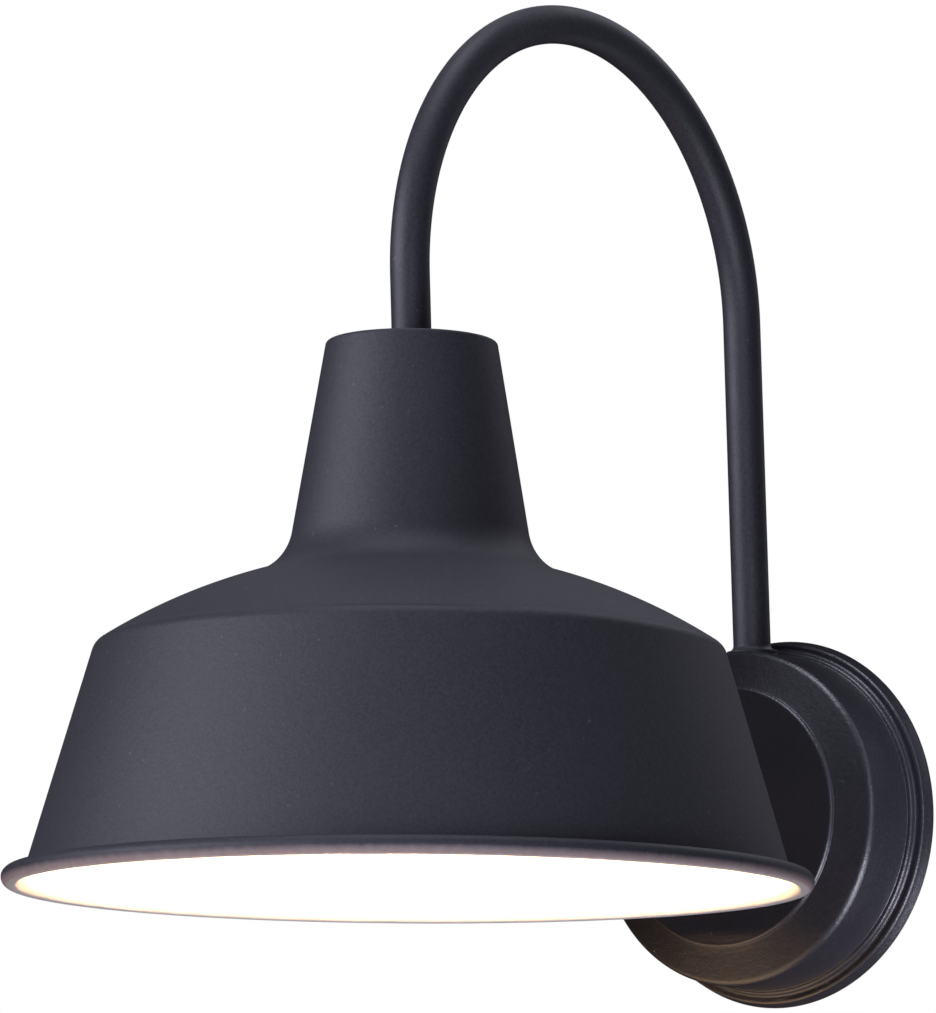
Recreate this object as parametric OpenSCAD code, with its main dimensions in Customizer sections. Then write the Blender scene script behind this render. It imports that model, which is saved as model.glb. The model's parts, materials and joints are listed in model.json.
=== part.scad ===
// Outdoor wall lantern: a spun warehouse shade hung from a gooseneck arm on a round wall canopy.
// Millimetres, +Z up. The wall is the plane y = 0 and the lantern reaches out along -Y.
// Origin: centre of the canopy's rear edge, on the wall.

/* [Shade] */
// Outside diameter over the rolled rim
shade_d = 304.8; // [290:0.1:320]
// Diameter of the rolled rim's bead
bead_d = 7.1; // [6:0.1:8]
// Thickness of the spun sheet
shade_wall = 1; // [0.8:0.1:1.4]
// Height from the bead's centre to the flat top of the neck
shade_h = 205.2; // [195:0.1:215]
// Height from the bead's centre to the foot of the shoulder
skirt_h = 85.7; // [80:0.1:92]
// Skirt's slope from vertical, in degrees
skirt_slope = 16.2; // [14:0.1:18]
// Roof's slope from horizontal beside the shoulder, in degrees
roof_low_slope = 32.8; // [31:0.1:35]
// Roof's slope from horizontal beside the neck, in degrees
roof_high_slope = 16.3; // [15:0.1:19]
// Radius of the roof's crown
roof_r = 220; // [200:1:235]
// Radius of the shoulder between roof and skirt
shoulder_r = 6; // [4:0.5:8]
// Radius of the fillet between roof and neck
neck_fillet_r = 21; // [17:0.5:23]
// Neck's slope from vertical, in degrees
neck_slope = 9.5; // [8.5:0.1:10]
// Rounding of the neck's top edge
neck_edge_r = 1.6; // [1.5:0.1:3]

/* [Gooseneck] */
// Distance of the shade's axis from the wall
shade_out = 244; // [240:1:250]
// Depth of the rim bead's centre below the canopy's centre
shade_drop = 41.2; // [36:0.1:46]
// Outside diameter of the arm tube
tube_d = 15.2; // [14.6:0.1:16]
// Wall of the arm tube
tube_wall = 1.2; // [1:0.1:1.4]
// Centreline radius of the bend
bend_r = 109.5; // [108.5:0.1:110]
// Height of the bend's centre above the canopy's centre
bend_h = 196; // [190:1:202]
// Lean of both arm legs away from the wall, in degrees
arm_lean = 3.1; // [2.8:0.1:3.4]

/* [Canopy] */
// Diameter of the canopy at the wall
canopy_d = 149.2; // [146:0.1:156]
// Depth from the wall to the canopy's raised centre disc
canopy_depth = 40; // [38:0.5:42]
// Thickness of the canopy's sheet
canopy_wall = 0.8; // [0.6:0.1:0.9]
// Diameter of the raised centre disc
disc_d = 105; // [98:1:108]

/* [Mounting bar] */
// Length of the crossbar
bar_l = 112; // [110:1:116]
// Width of the crossbar
bar_w = 22; // [20:1:24]
// Thickness of the crossbar
bar_t = 2; // [1.5:0.1:2.5]
// Distance between the two box screw slots
box_spacing = 88.9; // [85:0.1:90]
// Width of each slot
slot_w = 4.6; // [4.4:0.1:5]
// End to end length of each slot
slot_l = 14; // [10:1:16]

/* [Lamp] */
// Diameter of the lamp's glass globe
globe_d = 60; // [56:1:62]
// Overall length of the lamp
lamp_l = 108; // [105:1:112]

/* [Hidden] */
$fn = 96;
// Sides of a large circle that cuts a small part
fine = 288;
// How far a cutting solid runs past the face it cuts
past = 1;

// Finishes
paint = [0.16, 0.16, 0.19];
steel = [0.72, 0.72, 0.74];
zinc = [0.62, 0.63, 0.66];
brass = [0.78, 0.62, 0.32];
rubber = [0.08, 0.08, 0.08];
porcelain = [0.93, 0.92, 0.88];
glass = [0.95, 0.95, 0.92, 0.6];
orange = [0.86, 0.42, 0.12];
green = [0.2, 0.55, 0.3];
white = [0.9, 0.9, 0.88];
copper = [0.72, 0.42, 0.25];

// Threads are plain cylinders of their major diameter
nipple_d = 9.8;
nipple_bore = 7;
nut_flats = 14;
nut_h = 4;
tap_gap = 0.2;
washer_t = 1;
seal_t = 1.4;
driver_slot = 1;

// Shade outline, as height above the bead's centre and radius from the shade's axis
bead_r = bead_d / 2;
bead_c = shade_d / 2 - bead_r;
bead_step = 0.8;
skirt_foot_r = bead_c - bead_r - bead_step;
skirt_top = [skirt_foot_r - skirt_h * tan(skirt_slope), skirt_h];
shoulder_c = skirt_top - shoulder_r * dir(skirt_slope);
roof_c = shoulder_c - (roof_r - shoulder_r) * dir(90 - roof_low_slope);
fillet_c = roof_c + (roof_r + neck_fillet_r) * dir(90 - roof_high_slope);
neck_foot = fillet_c - neck_fillet_r * dir(neck_slope);
neck_rise = shade_h - neck_edge_r - neck_foot.y;
neck_top_c = [
    neck_foot.x - (neck_edge_r + neck_rise * sin(neck_slope)) / cos(neck_slope),
    shade_h - neck_edge_r
];
neck_top_z = shade_h - shade_drop;

// Arm centreline: two parallel legs and a half circle, all leaning by arm_lean
tube_bore = tube_d - 2 * tube_wall;
bend_y = -shade_out - (bend_h - neck_top_z) * tan(arm_lean) + bend_r / cos(arm_lean);
nose_trim = 4;

// Canopy outline: radius from its axis and depth from the wall
canopy_r = canopy_d / 2;
tier_1_r = canopy_r - 1.2;
tier_1_depth = 5.7;
tier_2_r = canopy_r - 4.8;
tier_2_depth = 8.9;
tier_round = 1;
step_fillet = 0.5;
side_r = canopy_r - 6.5;
side_taper = 1.5;
edge_r = side_r - 0.5;
edge_round = 3.6;
edge_depth = canopy_depth - 5.9;
disc_r = disc_d / 2;
disc_round = 1.4;
front_slope = atan2(
    canopy_depth - disc_round - step_fillet - edge_depth,
    edge_r - edge_round - disc_r
);

// Mounting bar's fastenings, as distance from the canopy's axis and height above the bar
ground_x = -22;
ground_shank_r = 2.4;
stud_out = 7;
cap_h = 10;

// Arm's foot, as height along the rear leg above the canopy's side
foot_z = side_r - 1;
bush_l = 14;
bush_low = -6;
foot_washer_low = -3.6;
lug_t = 0.8;
lug_reach = 14;

// Lamp holder stack, as heights in the part's frame
nipple_low_z = 147;
bracket_z = 152;
bracket_t = 1.5;
bracket_screw_z = 137.5;
bracket_screw_r = 1.8;
holder_top_z = 141;
holder_low_z = 98;
holder_r = 19;
lamp_tip_z = 130.2;
screw_shell_r = 13.45;
screw_shell_t = 0.6;
tip_gap = 0.9;
contact_rivet_r = 1.6;
terminal_x = 12;
terminal_r = 1.7;
terminal_shank = 7;

// Lamp outline, as height below its tip
globe_r = globe_d / 2;
globe_z = globe_r - lamp_l;
glass_neck_r = 12.6;
glass_neck_z = -33;
glass_neck_end = -26;
glass_wall = 0.7;
flare_r = (pow(glass_neck_z - globe_z, 2) - pow(globe_r, 2) + pow(glass_neck_r, 2))
    / (2 * (globe_r - glass_neck_r));
flare_angle = atan2(glass_neck_z - globe_z, glass_neck_r + flare_r);
lamp_shell_r = 13;

// Wires
wire_r = 1.1;
wire_side = 1.7;
wire_sides = 8;
wire_nut_x = 24;
wire_nut_y = -16;
wire_nut_z = -16;

// Unit vector at an angle, in a plane outline
function dir(a) = [cos(a), sin(a)];

// Points along an arc of radius r around c, from angle a to angle b in n steps
function arc(c, r, a, b, n) = [for (i = [0:n]) c + r * dir(a + (b - a) * i / n)];

function reverse(list) = [for (i = [len(list) - 1:-1:0]) list[i]];

// Shade outline from skirt to neck top, moved inward by t
function shade_line(t) = concat(
    [[skirt_foot_r, 0] - t * dir(skirt_slope)],
    arc(shoulder_c, shoulder_r - t, skirt_slope, 90 - roof_low_slope, 6),
    arc(roof_c, roof_r - t, 90 - roof_low_slope, 90 - roof_high_slope, 10),
    arc(fillet_c, neck_fillet_r + t, 270 - roof_high_slope, 180 + neck_slope, 10),
    arc(neck_top_c, neck_edge_r - t, neck_slope, 90, 6)
);

// Rounded outer corner of the canopy's outline, moved inward by t
function corner(c, r, a, b, t, n) = arc(c - r * [1, 1], r - t, a, b, n);

// Canopy outline from wall to centre disc, moved inward by t
function canopy_line(t) = concat(
    [[canopy_r - t, 0]],
    corner([tier_1_r, tier_1_depth], tier_round, 0, 90, t, 6),
    arc([tier_2_r, tier_1_depth] + step_fillet * [1, 1], step_fillet + t, 270, 180, 4),
    corner([tier_2_r, tier_2_depth], tier_round, 0, 90, t, 6),
    arc([side_r, tier_2_depth] + step_fillet * [1, 1], step_fillet + t, 270, 180 + side_taper, 4),
    corner([edge_r, edge_depth], edge_round, side_taper, 90 - front_slope, t, 8),
    arc(
        [disc_r + step_fillet, canopy_depth - disc_round],
        step_fillet + t, 270 - front_slope, 180, 4
    ),
    corner([disc_r, canopy_depth], disc_round, 0, 90, t, 6)
);

// Lamp glass outline from the globe's bottom to the neck, moved inward by t
function glass_line(t) = concat(
    arc([0, globe_z], globe_r - t, -90, flare_angle, 24),
    arc([glass_neck_r + flare_r, glass_neck_z], flare_r + t, 180 + flare_angle, 180, 10),
    [[glass_neck_r - t, glass_neck_end]]
);

// A point of the arm's own plane, moved to the part's frame
function arm_point(p) = [
    p.x,
    bend_y + p.y * cos(arm_lean) - p.z * sin(arm_lean),
    bend_h + p.y * sin(arm_lean) + p.z * cos(arm_lean)
];

// Height along a leg, in the arm's own plane, of a height z in the part's frame
function leg_z(z, y) = (z - bend_h - y * sin(arm_lean)) / cos(arm_lean);

// Cubic curve from a to d, leaving towards b and arriving from c, in n steps
function curve(a, b, c, d, n) = [
    for (i = [0:n])
        let (t = i / n, s = 1 - t)
        s * s * s * a + 3 * s * s * t * b + 3 * s * t * t * c + t * t * t * d
];

// Direction of a path at point i
function heading(path, i) =
    let (a = path[max(i - 1, 0)], b = path[min(i + 1, len(path) - 1)])
    (b - a) / norm(b - a);

// Ring of points around a path at point i
function ring(path, i, r) =
    let (
        t = heading(path, i),
        side = [1, 1, 0] / sqrt(2),
        u = side - (side * t) * t,
        un = u / norm(u),
        v = cross(t, un)
    )
    [for (k = [0:wire_sides - 1])
        path[i] + r * (cos(360 * k / wire_sides) * un + sin(360 * k / wire_sides) * v)];

// Round wire along a path
module wire(path, r) {
    n = wire_sides;
    last = len(path) - 1;
    polyhedron(
        points = [for (i = [0:last]) each ring(path, i, r)],
        faces = concat(
            [[for (k = [0:n - 1]) k]],
            [for (i = [0:last - 1]) for (k = [0:n - 1])
                [i * n + k, i * n + n + k, i * n + n + (k + 1) % n, i * n + (k + 1) % n]],
            [[for (k = [n - 1:-1:0]) last * n + k]]
        )
    );
}

// Children placed with Z along the canopy's axis, away from the wall
module on_canopy_axis() {
    rotate([90, 0, 0])
        children();
}

// Children placed on the shade's axis, in the part's heights
module on_shade_axis() {
    translate([0, -shade_out, 0])
        children();
}

// Children placed in the arm's own plane, at the bend's centre
module in_arm_plane() {
    translate([0, bend_y, bend_h])
        rotate([arm_lean, 0, 0])
            children();
}

// Children placed on the rear leg's axis, z = 0 at the part's height z
module on_rear_leg(z) {
    in_arm_plane()
        translate([0, bend_r, leg_z(z, bend_r)])
            children();
}

module ring_solid(r_out, r_in, h) {
    difference() {
        cylinder(r = r_out, h = h);
        translate([0, 0, -past])
            cylinder(r = r_in, h = h + 2 * past);
    }
}

module hex_nut(flats, bore_d, h) {
    difference() {
        cylinder(d = flats / cos(30), h = h, $fn = 6);
        translate([0, 0, -past])
            cylinder(d = bore_d, h = h + 2 * past);
    }
}

// Round head with a driving slot on a plain shank, head upward from z = 0
module slotted_screw(head_r, head_h, shank_r, shank_l) {
    difference() {
        cylinder(r = head_r, h = head_h);
        translate([-head_r - past, -driver_slot / 2, head_h / 2])
            cube([2 * (head_r + past), driver_slot, head_h]);
    }
    translate([0, 0, -shank_l])
        cylinder(r = shank_r, h = shank_l + head_h / 4);
}

// Everything inside the canopy's outline moved inward by t, and a little behind the wall
module canopy_inside(t) {
    on_canopy_axis()
        rotate_extrude()
            polygon(concat(
                [[0, -past], [canopy_r - t, -past]],
                canopy_line(t),
                [[0, canopy_depth - t]]
            ));
}

// Stamped canopy, with the arm's hole in its top and the stud's hole in its centre
module wall_canopy() {
    hole_reach = 16;
    color(paint)
        difference() {
            on_canopy_axis()
                rotate_extrude()
                    polygon(concat(
                        canopy_line(0),
                        [[nipple_d / 2 + tap_gap, canopy_depth]],
                        [[nipple_d / 2 + tap_gap, canopy_depth - canopy_wall]],
                        reverse(canopy_line(canopy_wall))
                    ));
            on_rear_leg(foot_z)
                cylinder(r = nipple_d / 2 + tap_gap, h = hole_reach, center = true);
        }
}

// Foam ring that seals the canopy's rim to the wall
module canopy_gasket() {
    gasket_r = tier_1_r - canopy_wall - 0.6;
    gasket_w = 10;
    gasket_t = 3;
    color(rubber)
        on_canopy_axis()
            ring_solid(gasket_r, gasket_r - gasket_w, gasket_t);
}

module crossbar() {
    color(zinc)
        on_canopy_axis()
            difference() {
                translate([-bar_l / 2, -bar_w / 2, 0])
                    cube([bar_l, bar_w, bar_t]);
                translate([0, 0, -past])
                    cylinder(d = nipple_d, h = bar_t + 2 * past);
                for (side = [-1, 1])
                    translate([side * box_spacing / 2, 0, -past])
                        box_slot();
                translate([ground_x, 0, -past])
                    cylinder(r = ground_shank_r, h = bar_t + 2 * past);
            }
}

// Slot with round ends, cut along X
module box_slot() {
    run = slot_l - slot_w;
    translate([-run / 2, -slot_w / 2, 0])
        cube([run, slot_w, bar_t + 2 * past]);
    for (end = [-1, 1])
        translate([end * run / 2, 0, 0])
            cylinder(d = slot_w, h = bar_t + 2 * past);
}

module ground_screw() {
    head_r = 4.4;
    head_h = 2.4;
    color(green)
        on_canopy_axis()
            translate([ground_x, 0, bar_t])
                slotted_screw(head_r, head_h, ground_shank_r, bar_t);
}

// Threaded stud that the canopy hangs on
module crossbar_stud() {
    color(zinc)
        on_canopy_axis()
            cylinder(d = nipple_d, h = canopy_depth + stud_out);
}

module stud_locknut() {
    color(zinc)
        on_canopy_axis()
            translate([0, 0, bar_t])
                hex_nut(nut_flats, nipple_d, nut_h);
}

module cap_nut_seal() {
    seal_r = 9;
    color(rubber)
        on_canopy_axis()
            translate([0, 0, canopy_depth])
                ring_solid(seal_r, nipple_d / 2, seal_t);
}

// Domed nut that closes the canopy's centre
module canopy_cap_nut() {
    cap_r = 10;
    dome_r = 14;
    color(paint)
        on_canopy_axis()
            translate([0, 0, canopy_depth + seal_t])
                difference() {
                    intersection() {
                        cylinder(r = cap_r, h = cap_h);
                        translate([0, 0, cap_h - dome_r])
                            sphere(r = dome_r);
                    }
                    translate([0, 0, -past])
                        cylinder(d = nipple_d, h = stud_out - seal_t + tap_gap + past);
                }
}

// Turned collar that flares from the arm's foot, shaped to the canopy below it
module arm_foot_collar() {
    flare = 2.4;
    lip = 0.3;
    lip_top = 1.8;
    collar_low = -6;
    tube_r = tube_d / 2;
    color(paint)
        difference() {
            on_rear_leg(foot_z)
                rotate_extrude()
                    polygon(concat(
                        [[tube_r, collar_low], [tube_r + flare + lip, collar_low]],
                        [[tube_r + flare + lip, lip_top]],
                        arc([tube_r, lip_top] + flare * [1, 1], flare, 270, 180, 12)
                    ));
            canopy_inside(0, $fn = fine);
        }
}

// Both legs and the bend as one rod of diameter d, run past both ends
module arm_rod(d) {
    rear = leg_z(foot_z + bush_low, bend_r);
    front = leg_z(neck_top_z - nose_trim, -bend_r);
    in_arm_plane() {
        translate([0, bend_r, rear])
            cylinder(d = d, h = -rear);
        translate([0, -bend_r, front])
            cylinder(d = d, h = -front);
        rotate([90, 0, 90])
            rotate_extrude(angle = 180)
                translate([bend_r, 0])
                    circle(d = d);
    }
}

// Block that trims the front leg level with the neck's top
module below_neck_top() {
    block = 40;
    translate([-block / 2, -shade_out - block / 2, neck_top_z - block])
        cube(block);
}

module gooseneck_arm() {
    color(paint)
        difference() {
            arm_rod(tube_d);
            arm_rod(tube_bore);
            canopy_inside(0, $fn = fine);
            below_neck_top();
        }
}

// Threaded plug brazed into the arm's lower rear end
module arm_foot_bush() {
    color(steel)
        difference() {
            on_rear_leg(foot_z)
                translate([0, 0, bush_low])
                    ring_solid(tube_bore / 2, nipple_d / 2, bush_l - bush_low);
            canopy_inside(0, $fn = fine);
        }
}

// Hollow threaded nipple that holds the arm to the canopy
module arm_foot_nipple() {
    below = 15;
    above = bush_l - 2;
    color(zinc)
        on_rear_leg(foot_z)
            translate([0, 0, -below])
                ring_solid(nipple_d / 2, nipple_bore / 2, below + above);
}

// Washer shaped to the canopy's inside
module arm_foot_washer() {
    washer_r = 10;
    washer_rise = 8;
    color(steel)
        intersection() {
            on_rear_leg(foot_z)
                translate([0, 0, foot_washer_low])
                    ring_solid(washer_r, nipple_d / 2, washer_rise);
            canopy_inside(canopy_wall, $fn = fine);
        }
}

// Ring terminal of the ground wire, clamped under the arm's foot
module ground_lug() {
    eye_r = 7.6;
    tab = [10, 5, lug_t];
    color(brass)
        on_rear_leg(foot_z)
            translate([0, 0, foot_washer_low - lug_t])
                difference() {
                    union() {
                        cylinder(r = eye_r, h = lug_t);
                        translate([-lug_reach, -tab.y / 2, 0])
                            cube(tab);
                    }
                    translate([0, 0, -past])
                        cylinder(d = nipple_d, h = lug_t + 2 * past);
                }
}

module arm_foot_locknut() {
    color(zinc)
        on_rear_leg(foot_z)
            translate([0, 0, foot_washer_low - lug_t - nut_h])
                hex_nut(nut_flats, nipple_d, nut_h);
}

// Threaded plug brazed into the arm's front end, bored plumb for the shade's nipple
module arm_nose_bush() {
    color(steel)
        difference() {
            in_arm_plane()
                translate([0, -bend_r, leg_z(neck_top_z - nose_trim, -bend_r)])
                    cylinder(d = tube_bore, h = bush_l + nose_trim);
            below_neck_top();
            on_shade_axis()
                translate([0, 0, neck_top_z - past])
                    cylinder(d = nipple_d, h = 2 * bush_l);
        }
}

// Hollow threaded nipple that carries the shade and the lamp holder
module shade_nipple() {
    top_z = neck_top_z + bush_l - 4;
    color(zinc)
        on_shade_axis()
            translate([0, 0, nipple_low_z])
                ring_solid(nipple_d / 2, nipple_bore / 2, top_z - nipple_low_z);
}

module neck_seal_washer() {
    washer_r = 11;
    color(rubber)
        on_shade_axis()
            translate([0, 0, neck_top_z - shade_wall - washer_t])
                ring_solid(washer_r, nipple_d / 2, washer_t);
}

module shade_washer() {
    washer_r = 12;
    color(steel)
        on_shade_axis()
            translate([0, 0, neck_top_z - shade_wall - 2 * washer_t])
                ring_solid(washer_r, nipple_d / 2, washer_t);
}

module shade_locknut() {
    color(zinc)
        on_shade_axis()
            translate([0, 0, neck_top_z - shade_wall - 2 * washer_t - nut_h])
                hex_nut(nut_flats, nipple_d, nut_h);
}

// Spun shade with its rolled rim
module shade() {
    hole_r = nipple_d / 2 + tap_gap;
    color(paint)
        translate([0, -shade_out, -shade_drop])
            rotate_extrude($fn = 128) {
                polygon(concat(
                    shade_line(0),
                    [[hole_r, shade_h], [hole_r, shade_h - shade_wall]],
                    reverse(shade_line(shade_wall))
                ));
                rim_lip();
                translate([bead_c, 0])
                    circle(r = bead_r);
            }
}

// Strip that carries the skirt under and out into the bead
module rim_lip() {
    reach = 2.4;
    bulge = 0.6;
    polygon([
        [skirt_foot_r, 0] + reach * [-tan(skirt_slope), 1],
        [skirt_foot_r, 0] - shade_wall * dir(skirt_slope),
        [skirt_foot_r + bulge, -reach],
        [bead_c, -bead_r],
        [bead_c, 0]
    ]);
}

// Folded strap that hangs the lamp holder on the nipple
module socket_bracket() {
    strap_w = 16;
    leg_low = 134;
    color(zinc)
        on_shade_axis()
            difference() {
                translate([-strap_w / 2, -holder_r - bracket_t, leg_low])
                    cube([strap_w, 2 * (holder_r + bracket_t), bracket_z + bracket_t - leg_low]);
                translate([-strap_w, -holder_r, leg_low - past])
                    cube([2 * strap_w, 2 * holder_r, bracket_z - leg_low + past]);
                translate([0, 0, bracket_z - past])
                    cylinder(d = nipple_d, h = bracket_t + 2 * past);
                bracket_screw_holes(holder_r + bracket_t + past);
            }
}

// Radial holes for the two bracket screws, from the axis out to a reach
module bracket_screw_holes(reach) {
    from = holder_r - 5;
    for (side = [-1, 1])
        translate([0, 0, bracket_screw_z])
            rotate([side * 90, 0, 0])
                translate([0, 0, from])
                    cylinder(r = bracket_screw_r, h = reach - from);
}

module bracket_nut() {
    color(zinc)
        on_shade_axis()
            translate([0, 0, bracket_z - nut_h])
                hex_nut(nut_flats, nipple_d, nut_h);
}

// Glazed lamp holder
module socket_body() {
    bore_r = screw_shell_r + screw_shell_t;
    bore_top = lamp_tip_z + tip_gap;
    lip = 2;
    color(porcelain)
        on_shade_axis()
            difference() {
                rotate_extrude()
                    polygon(concat(
                        [[bore_r, holder_low_z]],
                        arc([holder_r - lip, holder_low_z + lip], lip, -90, 0, 6),
                        arc([holder_r - lip, holder_top_z - lip], lip, 0, 90, 6),
                        [[contact_rivet_r, holder_top_z], [contact_rivet_r, bore_top]],
                        [[bore_r, bore_top]]
                    ));
                for (side = [-1, 1])
                    translate([side * terminal_x, 0, holder_top_z - terminal_shank])
                        cylinder(r = terminal_r, h = terminal_shank + past);
                bracket_screw_holes(holder_r + past);
            }
}

// Screw shell of the lamp holder
module socket_shell() {
    low = holder_low_z + 2;
    top = lamp_tip_z + tip_gap;
    hole_r = 8;
    outer_r = screw_shell_r + screw_shell_t;
    floor_z = top - screw_shell_t;
    color(steel)
        on_shade_axis()
            rotate_extrude()
                polygon([
                    [screw_shell_r, low], [outer_r, low], [outer_r, top],
                    [hole_r, top], [hole_r, floor_z], [screw_shell_r, floor_z]
                ]);
}

// Contact button and its rivet through the holder
module centre_contact() {
    button_r = 4;
    button_z = lamp_tip_z + 0.3;
    button_t = tip_gap - 0.3;
    head_r = 2.6;
    head_h = 0.8;
    color(brass)
        on_shade_axis() {
            translate([0, 0, button_z])
                cylinder(r = button_r, h = button_t);
            translate([0, 0, button_z])
                cylinder(r = contact_rivet_r, h = holder_top_z + head_h - button_z);
            translate([0, 0, holder_top_z])
                cylinder(r = head_r, h = head_h);
        }
}

module terminal_screws() {
    head_r = 3.2;
    head_h = 2.2;
    color(brass)
        on_shade_axis()
            for (side = [-1, 1])
                translate([side * terminal_x, 0, holder_top_z])
                    slotted_screw(head_r, head_h, terminal_r, terminal_shank);
}

module bracket_screws() {
    head_r = 3.4;
    head_h = 2;
    shank = 6;
    color(steel)
        on_shade_axis()
            for (side = [-1, 1])
                translate([0, 0, bracket_screw_z])
                    rotate([side * 90, 0, 0])
                        translate([0, 0, holder_r + bracket_t])
                            slotted_screw(head_r, head_h, bracket_screw_r, shank);
}

// Children placed on the lamp's axis, z = 0 at its tip
module in_lamp() {
    on_shade_axis()
        translate([0, 0, lamp_tip_z])
            children();
}

module bulb_glass() {
    color(glass)
        in_lamp()
            rotate_extrude()
                polygon(concat(glass_line(0), reverse(glass_line(glass_wall))));
}

// Glass mount that carries the filament
module bulb_stem() {
    foot_r = glass_neck_r - glass_wall - 0.1;
    color(glass)
        in_lamp()
            rotate_extrude($fn = 48)
                polygon([
                    [0, -58], [2.6, -58], [3, -54], [3, -38], [5, -32],
                    [foot_r, -28], [foot_r, -27], [0, -27]
                ]);
}

// Two lead wires and the coil between them
module bulb_filament() {
    lead_x = 9;
    lead_low = -70;
    lead_h = 14;
    lead_r = 0.35;
    coil_r = 0.6;
    stem_gap = 3;
    color(steel)
        in_lamp() {
            for (side = [-1, 1]) {
                translate([side * lead_x, 0, lead_low])
                    cylinder(r = lead_r, h = lead_h, $fn = 24);
                translate([0, 0, lead_low + lead_h - lead_r])
                    rotate([0, side * 90, 0])
                        translate([0, 0, stem_gap])
                            cylinder(r = lead_r, h = lead_x - stem_gap, $fn = 24);
            }
            translate([-lead_x, 0, lead_low])
                rotate([0, 90, 0])
                    cylinder(r = coil_r, h = 2 * lead_x, $fn = 24);
        }
}

// Screw base with rounded ridges
module bulb_shell() {
    shell_low = -29;
    shell_top = -5;
    ridges = 5;
    ridge_h = 3.6;
    ridge_in = 0.8;
    shell_t = 0.3;
    inner_r = lamp_shell_r - ridge_in - shell_t;
    color(steel)
        in_lamp()
            rotate_extrude()
                polygon(concat(
                    [[lamp_shell_r - shell_t, shell_low], [lamp_shell_r, shell_low]],
                    [for (i = [0:ridges * 6])
                        [lamp_shell_r - ridge_in * (1 - cos(60 * i)) / 2, -24.5 + ridge_h * i / 6]],
                    [[10.5, shell_top], [10.2, shell_top]],
                    [[inner_r, -7], [inner_r, -25], [lamp_shell_r - shell_t, -25.8]]
                ));
}

// Dark glass between the screw base and the tip
module bulb_insulator() {
    color(rubber)
        in_lamp()
            rotate_extrude()
                polygon([[0, -6], [9.8, -6], [9.8, -4.9], [8.6, -4], [5, -1.2], [0, -1.2]]);
}

module bulb_contact() {
    color(zinc)
        in_lamp()
            rotate_extrude()
                polygon(concat([[0, -1.2], [4.6, -1.2]], arc([3.4, -1.2], 1.2, 0, 90, 5), [[0, 0]]));
}

// Route of a supply wire: wire nut, foot, arm, nose, terminal
function supply_route(side) =
    let (
        x = side * wire_side,
        nut = [side * wire_nut_x, wire_nut_y, wire_nut_z],
        rear = function(z) arm_point([x, bend_r, leg_z(z, bend_r)]),
        front_z = neck_top_z + 16,
        nipple = [x, -shade_out, nipple_low_z + 11],
        bend_down = [x, -shade_out, holder_top_z + 2],
        low = holder_top_z + 1.3,
        end = [side * (terminal_x - 3.4), -shade_out, low]
    )
    concat(
        curve(nut, nut + [0, 0, 34], rear(32), rear(50), 8),
        [for (z = [80, 120, 160]) rear(z)],
        [for (a = [0:3:180]) arm_point([x, bend_r * cos(a), bend_r * sin(a)])],
        [arm_point([x, -bend_r, leg_z(front_z, -bend_r)])],
        curve(nipple, bend_down, end - [side * 3.6, 0, 0], end, 6)
    );

module wire_black() {
    color(rubber)
        wire(supply_route(-1), wire_r);
}

module wire_white() {
    color(white)
        wire(supply_route(1), wire_r);
}

// Ground wire from the lug under the arm's foot to the crossbar's screw
module wire_ground() {
    ground_r = 0.8;
    lug_end = arm_point([-lug_reach, bend_r, leg_z(foot_z, bend_r) + foot_washer_low - lug_t / 2]);
    screw_end = [ground_x, -bar_t - 1, 4.6];
    color(copper)
        wire(
            curve(lug_end, lug_end + [-20, 0, 2], screw_end + [-14, -10, 26], screw_end, 12),
            ground_r
        );
}

// Twist-on connectors of the two supply wires
module wire_nuts() {
    mouth_r = 4;
    color(orange)
        for (side = [-1, 1])
            translate([side * wire_nut_x, wire_nut_y, wire_nut_z - 16])
                difference() {
                    rotate_extrude($fn = 48)
                        polygon([[0, -2], [4, -2], [5, -1], [7, 14], [7, 18], [0, 18]]);
                    translate([0, 0, 4])
                        cylinder(r = mouth_r, h = 20);
                }
}

wall_canopy();
canopy_gasket();
crossbar();
ground_screw();
crossbar_stud();
stud_locknut();
cap_nut_seal();
canopy_cap_nut();
arm_foot_collar();
gooseneck_arm();
arm_foot_bush();
arm_foot_nipple();
arm_foot_washer();
ground_lug();
arm_foot_locknut();
arm_nose_bush();
shade_nipple();
neck_seal_washer();
shade_washer();
shade_locknut();
shade();
socket_bracket();
bracket_nut();
socket_body();
socket_shell();
centre_contact();
terminal_screws();
bracket_screws();
bulb_glass();
bulb_stem();
bulb_filament();
bulb_shell();
bulb_insulator();
bulb_contact();
wire_black();
wire_white();
wire_ground();
wire_nuts();
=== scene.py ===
"""Outdoor wall lantern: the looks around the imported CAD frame. Metres, in the CAD's own frame.

The wall is the plane y = 0, the lantern reaches out along -Y, and +Z is up.
"""
import json
import math

import bpy
from mathutils import Matrix, Vector

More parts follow.
